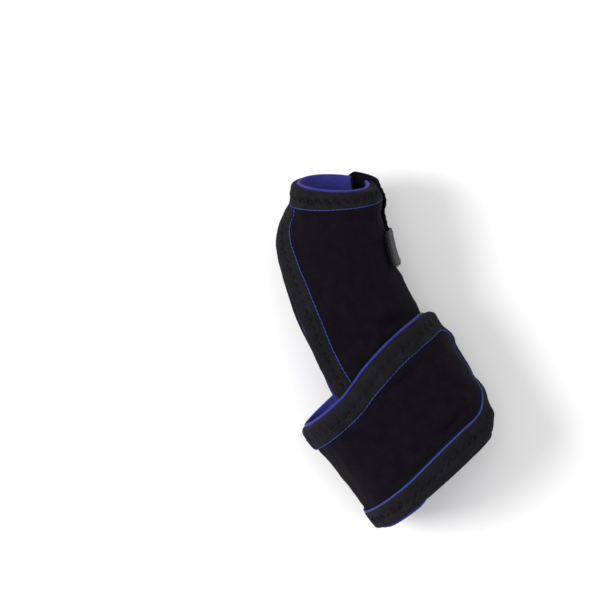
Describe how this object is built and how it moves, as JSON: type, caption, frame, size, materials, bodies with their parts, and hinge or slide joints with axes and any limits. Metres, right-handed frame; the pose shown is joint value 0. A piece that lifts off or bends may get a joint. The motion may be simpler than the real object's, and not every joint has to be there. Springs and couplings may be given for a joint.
{
  "type": "wrist splint",
  "caption": "Right-hand wrist and thumb splint of black foam fabric with blue stitching, a wrap-over wrist strap, a thumb collar with a hook tab, and a removable stay.",
  "frame": {"origin": "on the flat outer face of the stay pocket, under the middle of the wrist", "axes": "+Y from the forearm towards the fingers, +X to the thumb side, +Z from the back of the hand to the palm side"},
  "size_m": [0.0946, 0.131, 0.0558],
  "materials": {
    "black_neoprene": "black nylon-faced foam, fine smooth knit, matt",
    "charcoal_hem": "charcoal knitted hem band with zigzag stitching, slightly fuzzy",
    "blue_lining": "royal blue jersey lining, matt",
    "tab_webbing": "dark grey woven tab with a stitched border",
    "hook_tape": "black hook tape, bristly",
    "stay_metal": "brushed, formable sheet",
    "stay_tip": "dipped vinyl, satin"
  },
  "bodies": {
    "wrap": {"palm_panel": "black_neoprene", "palm_lining": "blue_lining", "palm_edge_hem": "charcoal_hem", "back_panel": "black_neoprene", "back_lining": "blue_lining", "back_edge_hem": "charcoal_hem", "wrist_edge_hem": "charcoal_hem", "collar_hem": "charcoal_hem", "collar_lining": "blue_lining", "strap_root_panel": "black_neoprene", "strap_root_lining": "blue_lining", "strap_root_upper_hem": "charcoal_hem", "strap_root_lower_hem": "charcoal_hem", "thumb_flap_base": "black_neoprene", "pocket_cover": "black_neoprene", "pocket_border": "charcoal_hem"},
    "strap": {"strap_middle_panel": "black_neoprene", "strap_middle_lining": "blue_lining", "strap_middle_upper_hem": "charcoal_hem", "strap_middle_lower_hem": "charcoal_hem"},
    "strap_tip": {"strap_end_panel": "black_neoprene", "strap_end_lining": "blue_lining", "strap_end_hem": "charcoal_hem", "strap_hook_patch": "hook_tape"},
    "flap": {"thumb_flap": "black_neoprene", "thumb_tab": "tab_webbing", "thumb_tab_hook": "hook_tape"},
    "stay": {"stay_bar": "stay_metal", "stay_tip_wrist": "stay_tip", "stay_tip_hand": "stay_tip"}
  },
  "joints": [
    {"name": "strap_open", "type": "hinge", "parent": "wrap", "child": "strap", "pos_m": [-0.03235, 0, 0.0285], "axis": [-0.068, -0.9976, -0.0152], "range_deg": [0, 110]},
    {"name": "strap_peel", "type": "hinge", "parent": "strap", "child": "strap_tip", "pos_m": [0.00471, 0, 0.0543], "axis": [-0.1084, -0.9924, -0.0587], "range_deg": [0, 66]},
    {"name": "flap_open", "type": "hinge", "parent": "wrap", "child": "flap", "pos_m": [0.04905, 0.06792, 0.01935], "axis": [0.4968, 0.761, 0.4172], "range_deg": [0, 90]},
    {"name": "stay_slide", "type": "slide", "parent": "wrap", "child": "stay", "axis": [-0.1564, -0.9877, 0], "range_m": [0, 0.062]}
  ],
  "couplings": [
    {"joint": "strap_peel", "follows": "strap_open", "ratio": 0.6}
  ]
}
